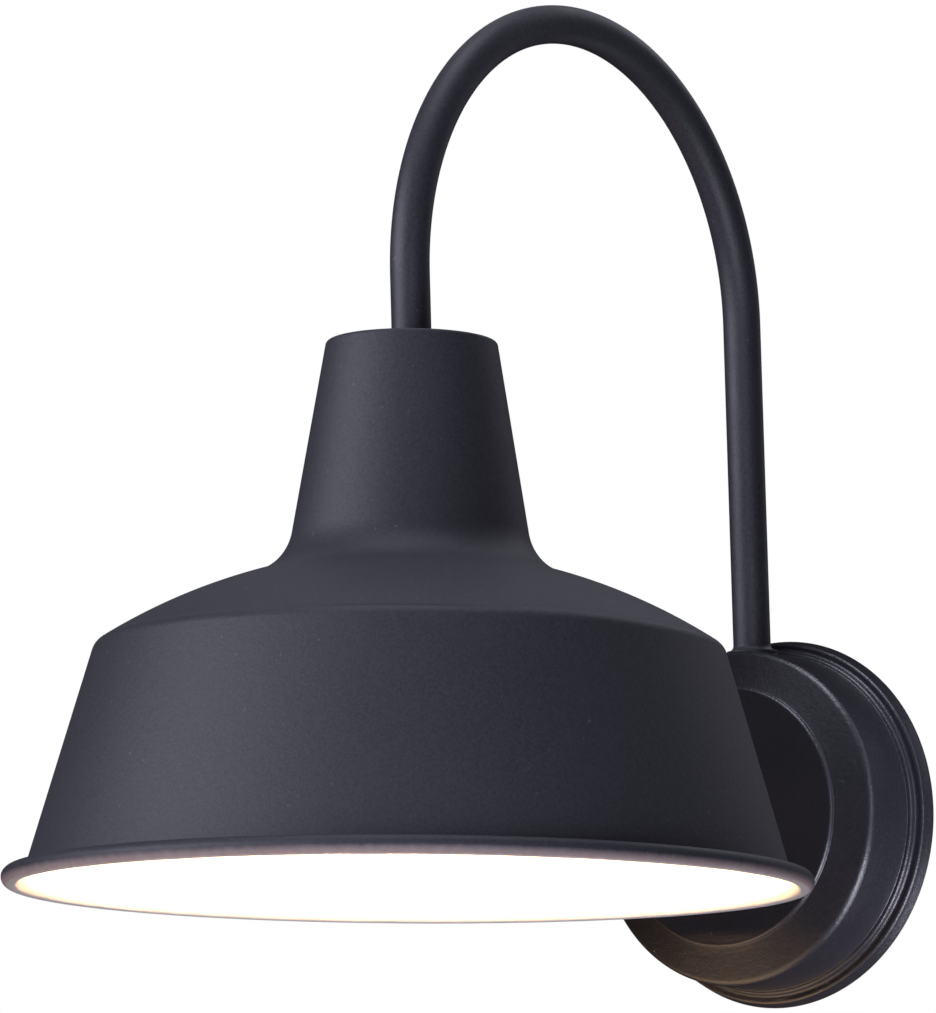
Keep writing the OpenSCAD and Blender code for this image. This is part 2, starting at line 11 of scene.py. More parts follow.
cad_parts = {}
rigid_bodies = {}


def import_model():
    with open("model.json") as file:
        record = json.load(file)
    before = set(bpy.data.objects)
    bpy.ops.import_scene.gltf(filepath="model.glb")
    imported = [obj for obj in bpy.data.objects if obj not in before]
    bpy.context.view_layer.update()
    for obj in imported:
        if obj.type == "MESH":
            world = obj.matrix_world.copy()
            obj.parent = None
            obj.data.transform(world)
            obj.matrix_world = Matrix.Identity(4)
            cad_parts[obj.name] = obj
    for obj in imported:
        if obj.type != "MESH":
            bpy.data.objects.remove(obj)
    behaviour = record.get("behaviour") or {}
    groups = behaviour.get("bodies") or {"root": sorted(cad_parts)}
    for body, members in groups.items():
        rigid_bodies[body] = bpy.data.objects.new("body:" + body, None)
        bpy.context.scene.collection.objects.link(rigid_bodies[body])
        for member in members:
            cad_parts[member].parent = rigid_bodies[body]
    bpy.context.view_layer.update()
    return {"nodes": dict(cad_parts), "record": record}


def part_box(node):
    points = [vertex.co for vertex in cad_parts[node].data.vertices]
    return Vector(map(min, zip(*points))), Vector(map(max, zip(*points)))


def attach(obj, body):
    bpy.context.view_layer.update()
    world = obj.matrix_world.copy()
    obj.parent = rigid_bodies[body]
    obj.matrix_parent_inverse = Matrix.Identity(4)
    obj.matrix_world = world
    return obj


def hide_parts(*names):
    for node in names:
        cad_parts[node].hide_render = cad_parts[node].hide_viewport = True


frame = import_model()

MM = 0.001
X, Y, Z = Vector((1, 0, 0)), Vector((0, 1, 0)), Vector((0, 0, 1))
ORIGIN = Vector((0, 0, 0))

# ---------------------------------------------------------------- sizes, from the frame


def centre_of(node):
    """Centre of a CAD node's box."""
    low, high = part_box(node)
    return (low + high) / 2


SHADE_LOW, SHADE_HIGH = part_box("shade")
SHADE_AXIS = Vector((0, centre_of("shade").y, 0))
BEAD_R = 3.55 * MM
BEAD_Z = SHADE_LOW.z + BEAD_R
BEAD_CENTRE_R = (SHADE_HIGH.x - SHADE_LOW.x) / 2 - BEAD_R
NECK_TOP_Z = SHADE_HIGH.z
CANOPY_LOW, CANOPY_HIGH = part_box("wall_canopy")
CANOPY_R = CANOPY_HIGH.x
CANOPY_DEPTH = -CANOPY_LOW.y
WIRE_NUT_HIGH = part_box("wire_nuts")[1]

# Shade outline, the same tangent arcs as the CAD's, with its slopes in degrees
SHEET = 1.0 * MM
SKIRT_FOOT_R = BEAD_CENTRE_R - BEAD_R - 0.8 * MM
SKIRT_HEIGHT = 85.7 * MM
SKIRT_SLOPE = 16.2
ROOF_LOW_SLOPE = 32.8
ROOF_HIGH_SLOPE = 16.3
ROOF_R = 220 * MM
SHOULDER_R = 6 * MM
FILLET_R = 21 * MM
NECK_SLOPE = 9.5
NECK_EDGE_R = 1.6 * MM

# Gooseneck centreline
TUBE_R = 7.6 * MM
BEND_R = 109.5 * MM
BEND_H = 196 * MM
ARM_LEAN = math.radians(3.1)

# Canopy outline
CANOPY_SHEET = 0.8 * MM
CANOPY_SIDE_R = CANOPY_R - 6.5 * MM
CANOPY_TAPER = 1.5
TIER_2_DEPTH = 8.9 * MM
FOOT_Z = CANOPY_SIDE_R - 1 * MM

# Pipe thread of the stud and the nipples, the hole that clears it, and the lamp's screw thread
PIPE_R = 4.9 * MM
PIPE_BORE_R = 3.5 * MM
PIPE_THREAD = 0.94 * MM
PIPE_HOLE_R = 5.1 * MM
LAMP_THREAD = 3.629 * MM

# Supply wires, each at its own side of the arm's centreline, and their connectors
WIRE_R = 1.1 * MM
WIRE_OFFSET = 1.7 * MM
WIRE_NUT_R = 7 * MM

# Faces round a large turned piece, the radius below which a point is a pole, and the small bevel
# on the edges of the CAD nodes
LARGE_STEPS = 256
POLE_R = 1e-7
BROKEN_EDGE = 0.2 * MM


# ---------------------------------------------------------------- outlines


def direction(degrees):
    """Unit vector at an angle, in a plane outline."""
    a = math.radians(degrees)
    return Vector((math.cos(a), math.sin(a)))


def arc(centre, radius, start, end, steps):
    """Points along an arc, angles in degrees."""
    return [
        Vector(centre) + radius * direction(start + (end - start) * i / steps)
        for i in range(steps + 1)
    ]


def line(a, b, steps):
    """Points from a to b, both left out."""
    return [Vector(a).lerp(Vector(b), i / steps) for i in range(1, steps)]


def linked(*runs, steps=6):
    """Runs of outline points joined by straight stretches, each cut into steps."""
    points = list(runs[0])
    for run in runs[1:]:
        points += line(points[-1], run[0], steps) + list(run)
    return points


# ---------------------------------------------------------------- meshes


def new_piece(name, vertices, faces, sharp=40):
    """A smooth-shaded mesh object with its hard edges kept."""
    mesh = bpy.data.meshes.new(name)
    mesh.from_pydata([tuple(v) for v in vertices], [], faces)
    mesh.validate()
    mesh.update()
    mesh.shade_smooth()
    mesh.set_sharp_from_angle(angle=math.radians(sharp))
    piece = bpy.data.objects.new(name, mesh)
    bpy.context.scene.collection.objects.link(piece)
    return piece


def lathe(name, outline, origin, axis, steps, closed=False, sharp=40):
    """Outline of (radius, height) points turned about an axis. A point at no radius is a pole."""
    axis = Vector(axis).normalized()
    side = axis.orthogonal().normalized()
    front = axis.cross(side)
    vertices, rows = [], []
    for radius, height in outline:
        base = Vector(origin) + height * axis
        if radius < POLE_R:
            rows.append([len(vertices)] * steps)
            vertices.append(base)
            continue
        rows.append(list(range(len(vertices), len(vertices) + steps)))
        for k in range(steps):
            a = 2 * math.pi * k / steps
            vertices.append(base + radius * (math.cos(a) * side + math.sin(a) * front))
    faces = []
    pairs = list(zip(rows, rows[1:])) + ([(rows[-1], rows[0])] if closed else [])
    for low, high in pairs:
        for k in range(steps):
            n = (k + 1) % steps
            corners = [low[k], low[n], high[n], high[k]]
            face = list(dict.fromkeys(corners))
            if len(face) > 2:
                faces.append(face)
    return new_piece(name, vertices, faces, sharp)


def sweep(name, path, radius, sides):
    """A round tube along a path, closed at both ends, with a frame carried smoothly along it."""
    path = [Vector(p) for p in path]
    headings = []
    for i in range(len(path)):
        a, b = path[max(i - 1, 0)], path[min(i + 1, len(path) - 1)]
        headings.append((b - a).normalized())
    side = headings[0].orthogonal().normalized()
    vertices, faces = [], []
    for i, (point, heading) in enumerate(zip(path, headings)):
        side = (side - side.dot(heading) * heading).normalized()
        up = heading.cross(side)
        for k in range(sides):
            a = 2 * math.pi * k / sides
            vertices.append(point + radius * (math.cos(a) * side + math.sin(a) * up))
        if i:
            low, high = (i - 1) * sides, i * sides
            for k in range(sides):
                n = (k + 1) % sides
                faces.append([low + k, low + n, high + n, high + k])
    faces.append(list(range(sides - 1, -1, -1)))
    faces.append([len(vertices) - sides + k for k in range(sides)])
    return new_piece(name, vertices, faces)


def ripple(piece, origin, axis, low, high, depth, beyond, count=1, pitch=0.0):
    """Waves cut into the outside of a turned piece: a screw thread with a pitch, flutes without.

    They lie between the heights low and high, where the piece is wider than the radius beyond.
    """
    axis = Vector(axis).normalized()
    side = axis.orthogonal().normalized()
    front = axis.cross(side)
    flute_run_out = 0.4 * MM
    fade_over = pitch / 2 if pitch else flute_run_out
    for vertex in piece.data.vertices:
        reach = vertex.co - Vector(origin)
        height = reach.dot(axis)
        out = reach - height * axis
        if not low < height < high or out.length < beyond:
            continue
        turn = count * math.atan2(out.dot(front), out.dot(side))
        rise = 2 * math.pi * height / pitch if pitch else 0.0
        fade = min(1, (height - low) / fade_over, (high - height) / fade_over)
        vertex.co -= out.normalized() * depth * fade * (1 - math.cos(rise - turn)) / 2


# ---------------------------------------------------------------- materials


class Nodes:
    """A short way to write a node tree around one Principled shader."""

    def __init__(self, name):
        self.material = bpy.data.materials.new(name)
        self.material.use_nodes = True
        self.tree = self.material.node_tree
        self.shader = self.tree.nodes["Principled BSDF"]
        self.place = self.add("ShaderNodeTexCoord").outputs["Object"]

    def add(self, kind, **values):
        """A new node, with values for its settings or its inputs."""
        node = self.tree.nodes.new(kind)
        for key, value in values.items():
            if hasattr(node, key):
                setattr(node, key, value)
            else:
                node.inputs[key].default_value = value
        return node

    def link(self, output, to):
        self.tree.links.new(output, to)

    def set(self, **values):
        """Values straight on the shader, by socket name with _ for each space."""
        for key, value in values.items():
            self.shader.inputs[key.replace("_", " ")].default_value = value

    def noise(self, scale, detail):
        """Noise in the piece's own space, of so many waves a metre."""
        node = self.add("ShaderNodeTexNoise", Scale=scale, Detail=detail)
        self.link(self.place, node.inputs["Vector"])
        return node.outputs["Fac"]

    def spread(self, value, low, high, to_low, to_high):
        """value between low and high, mapped to to_low..to_high and held there."""
        node = self.add("ShaderNodeMapRange")
        node.inputs["From Min"].default_value = low
        node.inputs["From Max"].default_value = high
        node.inputs["To Min"].default_value = to_low
        node.inputs["To Max"].default_value = to_high
        self.link(value, node.inputs["Value"])
        return node.outputs["Result"]

    def blotches(self, scale, detail, to_low, to_high):
        """Noise mapped to to_low..to_high, by the range that most of it lies in."""
        low, high = 0.3, 0.7
        return self.spread(self.noise(scale, detail), low, high, to_low, to_high)

    def mix(self, share, a, b):
        """Colour a where share is 0 and b where it is 1. Each is a colour or an output."""
        node = self.add("ShaderNodeMix", data_type="RGBA")
        self.link(share, node.inputs["Factor"])
        colour_in = [s for s in node.inputs if s.type == "RGBA"]
        for value, socket in zip((a, b), colour_in):
            if isinstance(value, (tuple, list)):
                socket.default_value = (*value, 1)
            else:
                self.link(value, socket)
        return [s for s in node.outputs if s.type == "RGBA"][0]

    def bump(self, height, strength, distance, below=None):
        """Normal of a bumpy surface, on top of the normal below if there is one."""
        node = self.add("ShaderNodeBump")
        node.inputs["Strength"].default_value = strength
        node.inputs["Distance"].default_value = distance
        self.link(height, node.inputs["Height"])
        if below is not None:
            self.link(below, node.inputs["Normal"])
        return node.outputs["Normal"]

    def finish(self, colour, roughness, normal):
        """Links the three to the shader. A roughness of None stays as it was set."""
        self.link(colour, self.shader.inputs["Base Color"])
        if roughness is not None:
            self.link(roughness, self.shader.inputs["Roughness"])
        self.link(normal, self.shader.inputs["Normal"])
        return self.material


# Colours of the coats, and the height of the powder coat's orange peel
BLACK = (0.026, 0.026, 0.033)
BLACK_WORN = (0.034, 0.034, 0.043)
GRAIN = (0.056, 0.056, 0.066)
SPECK = (0.085, 0.085, 0.095)
WHITE = (0.86, 0.855, 0.86)
# Overspray where the black coat dusts into the white: its grey is that mixing, and its warm pink
# tint is painted glow of the lamp's warm light
OVERSPRAY_AND_GLOW = (0.50, 0.39, 0.375)
PEEL_HEIGHT = 0.00020


def shaded(colour, tone):
    """The colour made darker by tone."""
    return tuple(c * tone for c in colour)


def powder_colour(n, tone=1.0):
    """Near-black powder coat: slow mottling, fine grain and sparse pale specks."""
    mottle_scale, grain_scale, speck_scale = 11, 900, 500
    mottle = n.blotches(mottle_scale, 3, 0, 1)
    grain = n.spread(n.noise(grain_scale, 2), 0.35, 0.65, 0, 0.5)
    base = n.mix(mottle, shaded(BLACK, tone), shaded(BLACK_WORN, tone))
    base = n.mix(grain, base, shaded(GRAIN, tone))
    speck = n.spread(n.noise(speck_scale, 0), 0.845, 0.88, 0, 1)
    return n.mix(speck, base, shaded(SPECK, tone))


def powder_normal(n, peel_height=PEEL_HEIGHT):
    """Fine orange peel with a finer grain on top."""
    peel_scale, grain_scale = 420, 1500
    peel = n.bump(n.noise(peel_scale, 2), 0.5, peel_height)
    return n.bump(n.noise(grain_scale, 2), 0.7, 0.7 * peel_height, below=peel)


def powder_black(name, roughness, tone=1.0, peel_height=PEEL_HEIGHT):
    """Black powder coat, its roughness a little uneven."""
    n = Nodes(name)
    uneven = 0.04
    rough = n.blotches(60, 4, roughness - uneven, roughness + uneven)
    return n.finish(powder_colour(n, tone), rough, powder_normal(n, peel_height))


def shade_coat(name):
    """Black outside and white inside, by the mesh's own coat attribute, from 0 to 1."""
    n = Nodes(name)
    coat = n.add("ShaderNodeAttribute")
    coat.attribute_name = "coat"
    wander = n.blotches(300, 2, -0.03, 0.03)
    add = n.add("ShaderNodeMath", operation="ADD")
    n.link(coat.outputs["Fac"], add.inputs[0])
    n.link(wander, add.inputs[1])
    # How white the coat is where its dusting, tinted by painted warm lamp glow, starts and ends,
    # and where its solid white does
    dust_and_glow_from, dust_and_glow_to = 0.06, 0.66
    white_from, white_to = 0.56, 0.80
    black_roughness, white_roughness = 0.56, 0.32
    dust_and_glow = n.spread(add.outputs[0], dust_and_glow_from, dust_and_glow_to, 0, 1)
    white = n.spread(add.outputs[0], white_from, white_to, 0, 1)
    # The dusted band takes the overspray colour, whose warm tint is painted lamp glow
    colour = n.mix(white, n.mix(dust_and_glow, powder_colour(n), OVERSPRAY_AND_GLOW), WHITE)
    rough = n.spread(white, 0, 1, black_roughness, white_roughness)
    return n.finish(colour, rough, powder_normal(n))


def plain_metal(name, colour, rough):
    """Plated or turned metal with fine grain and soft blotches."""
    n = Nodes(name)
    n.set(Metallic=1.0)
    grain_scale, grain_strength, grain_depth = 900, 0.12, 0.0001
    tint = n.mix(n.blotches(90, 4, 0, 1), shaded(colour, 0.88), colour)
    roughness = n.blotches(150, 3, rough * 0.8, rough * 1.2)
    normal = n.bump(n.noise(grain_scale, 2), grain_strength, grain_depth)
    return n.finish(tint, roughness, normal)


def soft_solid(name, colour, rough, grain_scale=600, grain_strength=0.3):
    """Rubber, plastic, glass or glaze."""
    n = Nodes(name)
    grain_depth = 0.0002
    tint = n.mix(n.blotches(80, 3, 0, 1), shaded(colour, 0.75), colour)
    roughness = n.blotches(200, 2, rough * 0.85, min(1, rough * 1.15))
    normal = n.bump(n.noise(grain_scale, 3), grain_strength, grain_depth)
    return n.finish(tint, roughness, normal)


def open_foam(name, colour):
    """Foam with small round cells, each dark in its middle: painted shade in the hollow of each
    pore.
    """
    n = Nodes(name)
    cells = n.add("ShaderNodeTexVoronoi", Scale=900.0)
    n.link(n.place, cells.inputs["Vector"])
    depth = cells.outputs["Distance"]
    dark = shaded(colour, 0.35)
    blotch = n.blotches(35, 3, 0, 0.5)
    # Painted shade: each cell darkens towards its middle, where its pore is hollow.
    pore_shade = n.mix(n.spread(depth, 0.15, 0.6, 0, 1), dark, colour)
    n.set(Roughness=0.92)
    return n.finish(n.mix(blotch, pore_shade, dark), None, n.bump(depth, 0.9, 0.0005))


def lit_glass(name, colour, strength):
    """Lamp glass that glows, with a faint mottle."""
    n = Nodes(name)
    n.set(Roughness=0.35, Emission_Strength=strength)
    mottle = n.blotches(40, 2, 0.96, 1.0)
    tint = n.mix(mottle, shaded(colour, 0.9), colour)
    n.link(tint, n.shader.inputs["Emission Color"])
    return n.finish(tint, None, n.bump(n.noise(700, 1), 0.1, 0.0001))


# ---------------------------------------------------------------- pieces


def dress(piece, material, body, slot, *nodes):
    """Gives a piece its material and its body, and hides the CAD nodes it stands for. The slot is
    not used.
    """
    piece.data.materials.append(material)
    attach(piece, body)
    if nodes:
        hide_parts(*nodes)


def shade_outline():
    """Closed outline of the shade's sheet, and how white the coat is at each point."""
    skirt_slope, neck_slope = math.radians(SKIRT_SLOPE), math.radians(NECK_SLOPE)
    foot = Vector((SKIRT_FOOT_R, 0))
    shoulder_foot = Vector((foot.x - SKIRT_HEIGHT * math.tan(skirt_slope), SKIRT_HEIGHT))
    shoulder = shoulder_foot - SHOULDER_R * direction(SKIRT_SLOPE)
    roof = shoulder - (ROOF_R - SHOULDER_R) * direction(90 - ROOF_LOW_SLOPE)
    fillet = roof + (ROOF_R + FILLET_R) * direction(90 - ROOF_HIGH_SLOPE)
    neck_foot = fillet - FILLET_R * direction(NECK_SLOPE)
    top_y = NECK_TOP_Z - BEAD_Z - NECK_EDGE_R
    rise = top_y - neck_foot.y
    top_x = neck_foot.x - (NECK_EDGE_R + rise * math.sin(neck_slope)) / math.cos(neck_slope)

    def skin(t):
        """The sheet's outline from shoulder to neck, at a depth t under its outer face."""
        return linked(
            arc(shoulder, SHOULDER_R - t, SKIRT_SLOPE, 90 - ROOF_LOW_SLOPE, 14),
            arc(roof, ROOF_R - t, 90 - ROOF_LOW_SLOPE, 90 - ROOF_HIGH_SLOPE, 24),
            arc(fillet, FILLET_R + t, 270 - ROOF_HIGH_SLOPE, 180 + NECK_SLOPE, 24),
            arc((top_x, top_y), NECK_EDGE_R - t, NECK_SLOPE, 90, 8),
            [Vector((PIPE_HOLE_R, NECK_TOP_Z - BEAD_Z - t))],
            steps=8,
        )

    # The skirt's foot runs into a bead that is curled outwards and open towards the axis
    outer_rise, inner_rise, bead_opening = 3.4 * MM, 1.6 * MM, 128
    along = Vector((-math.tan(skirt_slope), 1))
    outer = [foot + outer_rise * along] + skin(0)
    inner_foot = foot + inner_rise * along - SHEET * direction(SKIRT_SLOPE)
    tuck = Vector((inner_foot.x + 0.35 * MM, 0.2 * MM))
    inner = skin(SHEET)[::-1] + [inner_foot, tuck]
    rim = arc((BEAD_CENTRE_R, 0), BEAD_R, bead_opening, -bead_opening, 48)[::-1]

    # Angles round the bead between which the black coat gives way to the white one
    black_to, white_from = 8, -105
    coat = [0.0] * len(outer) + [1.0] * len(inner)
    for p in rim:
        angle = math.degrees(math.atan2(p.y, p.x - BEAD_CENTRE_R))
        share = (black_to - angle) / (black_to - white_from)
        coat.append(min(1.0, max(0.0, share)))
    return outer + inner + rim, coat


def make_shade(material):
    """The spun shade, with its coat stored at each point of the mesh."""
    outline, coat = shade_outline()
    origin = SHADE_AXIS + BEAD_Z * Z
    piece = lathe("shade_spun", outline, origin, Z, LARGE_STEPS, closed=True, sharp=50)
    layer = piece.data.attributes.new("coat", "FLOAT", "POINT")
    layer.data.foreach_set("value", [c for c in coat for _ in range(LARGE_STEPS)])
    dress(piece, material, "root", "black_paint", "shade")


def arm_plane(y, z):
    """A point of the arm's own plane, measured from the bend's centre, in the CAD's frame."""
    rise = BEND_H - NECK_TOP_Z
    bend_y = SHADE_AXIS.y - rise * math.tan(ARM_LEAN) + BEND_R / math.cos(ARM_LEAN)
    return Vector((
        0,
        bend_y + y * math.cos(ARM_LEAN) - z * math.sin(ARM_LEAN),
        BEND_H + y * math.sin(ARM_LEAN) + z * math.cos(ARM_LEAN),
    ))


def leg_height(z, y):
    """Height along a leg, in the arm's own plane, of a height z in the CAD's frame."""
    return (z - BEND_H - y * math.sin(ARM_LEAN)) / math.cos(ARM_LEAN)


def rear_leg(z):
    """Point at height z on the centreline of the leg that stands on the canopy."""
    return arm_plane(BEND_R, leg_height(z, BEND_R))


def leg_direction():
    """Unit vector up the arm's legs."""
    return (arm_plane(BEND_R, 1) - arm_plane(BEND_R, 0)).normalized()


def bend_points(steps):
    """Points over the arm's bend, from the rear leg to the front one."""
    angles = [math.pi * i / steps for i in range(steps + 1)]
    return [arm_plane(BEND_R * math.cos(a), BEND_R * math.sin(a)) for a in angles]


def make_arm(material):
    """The gooseneck: one tube up the rear leg, over the bend and down onto the shade's neck."""
    above_foot, rear_steps, front_steps, sides = 1.5 * MM, 16, 6, 56
    foot = leg_height(FOOT_Z + above_foot, BEND_R)
    nose = leg_height(NECK_TOP_Z, -BEND_R)
    path = [arm_plane(BEND_R, foot - foot * i / rear_steps) for i in range(rear_steps)]
    path += bend_points(120)
    path += [arm_plane(-BEND_R, nose * i / front_steps) for i in range(1, front_steps + 1)]
    piece = sweep("gooseneck_tube", path, TUBE_R, sides)
    last_ring = len(piece.data.vertices) - sides
    for vertex in list(piece.data.vertices)[last_ring:]:
        vertex.co.z = NECK_TOP_Z
    dress(piece, material, "root", "black_paint", "gooseneck_arm")


def canopy_outline():
    """Closed outline of the canopy's sheet, as radius and depth from the wall."""
    tier_1_r, tier_1_depth = CANOPY_R - 1.2 * MM, 5.7 * MM
    tier_2_r = CANOPY_R - 4.8 * MM
    tier_round, fillet = 1.5 * MM, 0.5 * MM
    tier_cove = 1.3 * MM
    edge_r, edge_round, edge_depth = CANOPY_SIDE_R - 0.5 * MM, 3.6 * MM, CANOPY_DEPTH - 5.9 * MM
    disc_r, disc_round = 52.5 * MM, 1.4 * MM
    rise = CANOPY_DEPTH - disc_round - fillet - edge_depth
    slope = math.degrees(math.atan2(rise, edge_r - edge_round - disc_r))

    def corner(r, depth, radius, start, end, t, steps):
        """Rounded outer corner, at a depth t under the sheet's face."""
        return arc((r - radius, depth - radius), radius - t, start, end, steps)

    def cove(r, depth, start, end, t, radius=fillet):
        """Rounded inner corner, at a depth t under the sheet's face."""
        return arc((r + radius, depth), radius + t, start, end, 6)

    def skin(t):
        """The sheet's outline from its rim to its centre hole, at a depth t under its face."""
        return linked(
            [Vector((CANOPY_R - t, 0))],
            corner(tier_1_r, tier_1_depth, tier_round, 0, 90, t, 10),
            cove(tier_2_r, tier_1_depth + tier_cove, 270, 180, t, tier_cove),
            corner(tier_2_r, TIER_2_DEPTH, tier_round, 0, 90, t, 10),
            cove(CANOPY_SIDE_R, TIER_2_DEPTH + fillet, 270, 180 + CANOPY_TAPER, t),
            corner(edge_r, edge_depth, edge_round, CANOPY_TAPER, 90 - slope, t, 16),
            cove(disc_r, CANOPY_DEPTH - disc_round, 270 - slope, 180, t),
            corner(disc_r, CANOPY_DEPTH, disc_round, 0, 90, t, 12),
            [Vector((PIPE_HOLE_R, CANOPY_DEPTH - t))],
            steps=3,
        )

    return skin(0) + skin(CANOPY_SHEET)[::-1]


def make_canopy(material):
    """The stamped canopy, its back on the wall."""
    outline = canopy_outline()
    piece = lathe("canopy_stamped", outline, ORIGIN, -Y, LARGE_STEPS, closed=True, sharp=50)
    dress(piece, material, "root", "black_paint", "wall_canopy")


def canopy_side(point):
    """Height of the canopy's round side above its axis, at a point's x and y."""
    radius = CANOPY_SIDE_R - (-point.y - TIER_2_DEPTH) * math.tan(math.radians(CANOPY_TAPER))
    return math.sqrt(max(0, radius * radius - point.x * point.x))


def make_foot_collar(material):
    """Collar that flares from the arm's foot and follows the canopy's round side below."""
    flare, lip, lip_top = 2.4 * MM, 0.3 * MM, 1.8 * MM
    foot, sunk = -2 * MM, 0.1 * MM
    rim = TUBE_R + flare + lip
    outline = linked(
        [Vector((rim, foot))],
        arc((rim - lip, lip_top - lip), lip, 0, 90, 5),
        arc((TUBE_R + flare, lip_top + flare), flare, 270, 182, 16),
        [Vector((TUBE_R - sunk, lip_top + flare))],
        steps=4,
    )
    piece = lathe("foot_collar", outline, rear_leg(FOOT_Z), leg_direction(), 96, sharp=50)
    for vertex in piece.data.vertices:
        vertex.co.z = max(vertex.co.z, canopy_side(vertex.co) - sunk)
    dress(piece, material, "root", "black_paint", "arm_foot_collar")


def make_bulb(material):
    """Lamp glass: a globe that flares into its neck."""
    low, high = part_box("bulb_glass")
    globe_r = (high.x - low.x) / 2
    neck_r, neck_rise = 12.6 * MM, 45 * MM
    globe_z = low.z + globe_r
    neck_z = globe_z + neck_rise
    run = neck_z - globe_z
    flare_r = (run ** 2 - globe_r ** 2 + neck_r ** 2) / (2 * (globe_r - neck_r))
    angle = math.degrees(math.atan2(run, neck_r + flare_r))
    wall = 0.7 * MM

    def skin(t):
        """The glass's outline at a depth t under its outer face."""
        globe = arc((0, globe_z), globe_r - t, -90, angle, 40)
        globe[0].x = 0
        flare = arc((neck_r + flare_r, neck_z), flare_r + t, 180 + angle, 180, 20)
        return globe + flare[1:] + [Vector((neck_r - t, high.z))]

    outline = skin(0) + skin(wall)[::-1]
    piece = lathe("lamp_glass", outline, SHADE_AXIS, Z, 128, sharp=50)
    dress(piece, material, "lamp", "frosted_glass", "bulb_glass")


def make_cap_nut(material):
    """Domed nut on the canopy's centre, with a fluted grip."""
    low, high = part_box("canopy_cap_nut")
    origin = Vector((0, high.y, 0))
    height, radius, edge = high.y - low.y, high.x, 0.5 * MM
    bore_end, grip_top, dome_foot = 5.8 * MM, 4.7 * MM, Vector((9.1 * MM, 5.4 * MM))
    rise = height - dome_foot.y
    dome_r = (dome_foot.x ** 2 + rise ** 2) / (2 * rise)
    start = math.degrees(math.atan2(dome_foot.y + dome_r - height, dome_foot.x))
    dome = arc((0, height - dome_r), dome_r, start, 90, 24)
    dome[-1].x = 0
    bore = [Vector((0, bore_end)), Vector((PIPE_R, bore_end)), Vector((PIPE_R, 0))]
    outline = linked(
        bore + [Vector((radius - edge, 0))],
        arc((radius - edge, edge), edge, -90, 0, 4),
        arc((radius - edge, grip_top - edge), edge, 0, 90, 4),
        [Vector((dome_foot.x, grip_top + 0.1 * MM))],
        dome,
        steps=5,
    )
    piece = lathe("cap_nut_turned", outline, origin, -Y, 288)
    flute_depth, flute_top = 0.4 * MM, grip_top - 0.4 * MM
    ripple(piece, origin, -Y, edge, flute_top, flute_depth, radius - 0.2 * MM, count=48)
    dress(piece, material, "root", "black_paint", "canopy_cap_nut")


def make_threaded(name, node, material, origin, axis, low, high, bore=0.0):
    """Threaded rod, or a hollow nipple when it has a bore."""
    edge, depth, skin_depth, rows_per_turn = 0.4 * MM, 0.5 * MM, 0.1 * MM, 7
    skin = linked(
        [Vector((PIPE_R - edge, low)), Vector((PIPE_R, low + edge))],
        [Vector((PIPE_R, high - edge)), Vector((PIPE_R - edge, high))],
        steps=int((high - low) / PIPE_THREAD * rows_per_turn),
    )
    outline = [Vector((bore, low))] + skin + [Vector((bore, high))]
    piece = lathe(name, outline, origin, axis, 48, closed=bore > 0, sharp=70)
    beyond = PIPE_R - skin_depth
    ripple(piece, origin, axis, low + edge, high - edge, depth, beyond, pitch=PIPE_THREAD)
    dress(piece, material, "root", "zinc_plate", node)


def make_pipe_threads(material):
    """The canopy's stud and the two hollow nipples."""
    stud_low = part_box("crossbar_stud")[0]
    make_threaded("stud_threaded", "crossbar_stud", material, ORIGIN, -Y, 0, -stud_low.y)
    low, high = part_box("shade_nipple")
    make_threaded(
        "shade_nipple_threaded", "shade_nipple", material,
        SHADE_AXIS, Z, low.z, high.z, PIPE_BORE_R,
    )
    foot_low, foot_high = -15 * MM, 12 * MM
    make_threaded(
        "foot_nipple_threaded", "arm_foot_nipple", material,
        rear_leg(FOOT_Z), leg_direction(), foot_low, foot_high, PIPE_BORE_R,
    )


def make_lamp_shell(material):
    """Screw base of the lamp, rolled with its round thread."""
    low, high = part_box("bulb_shell")
    radius, wall, depth = high.x, 0.3 * MM, 0.8 * MM
    collar, taper, tip_r = 3 * MM, 1.8 * MM, 10.5 * MM
    inner, inner_collar, inner_taper = radius - depth - wall, 4 * MM, 2 * MM
    outline = linked(
        [Vector((radius - wall, low.z)), Vector((radius, low.z))],
        [Vector((radius, low.z + collar))],
        [Vector((radius, high.z - taper))],
        [Vector((tip_r, high.z)), Vector((tip_r - wall, high.z))],
        [Vector((inner, high.z - inner_taper))],
        [Vector((inner, low.z + inner_collar))],
        steps=48,
    )
    piece = lathe("lamp_screw_base", outline, SHADE_AXIS, Z, 96, closed=True, sharp=60)
    start, end, beyond = low.z + collar, high.z - 1.2 * MM, radius - 0.7 * MM
    ripple(piece, SHADE_AXIS, Z, start, end, depth, beyond, pitch=LAMP_THREAD)
    dress(piece, material, "lamp", "shell_metal", "bulb_shell")


def make_filament(material):
    """Coiled filament between the ends of its lead wires."""
    low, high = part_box("bulb_filament")
    coil_r, wire_r, turns, steps_per_turn = 0.48 * MM, 0.11 * MM, 34, 14
    z, half = low.z + 0.6 * MM, high.x - 0.35 * MM
    steps = turns * steps_per_turn
    path = []
    for i in range(steps + 1):
        a = 2 * math.pi * turns * i / steps
        along = half * (2 * i / steps - 1)
        path.append(SHADE_AXIS + Vector((along, coil_r * math.cos(a), z + coil_r * math.sin(a))))
    dress(sweep("filament_coil", path, wire_r, 8), material, "lamp", "tungsten", "bulb_filament")
    make_filament_leads(material, low.z, high.z, half)


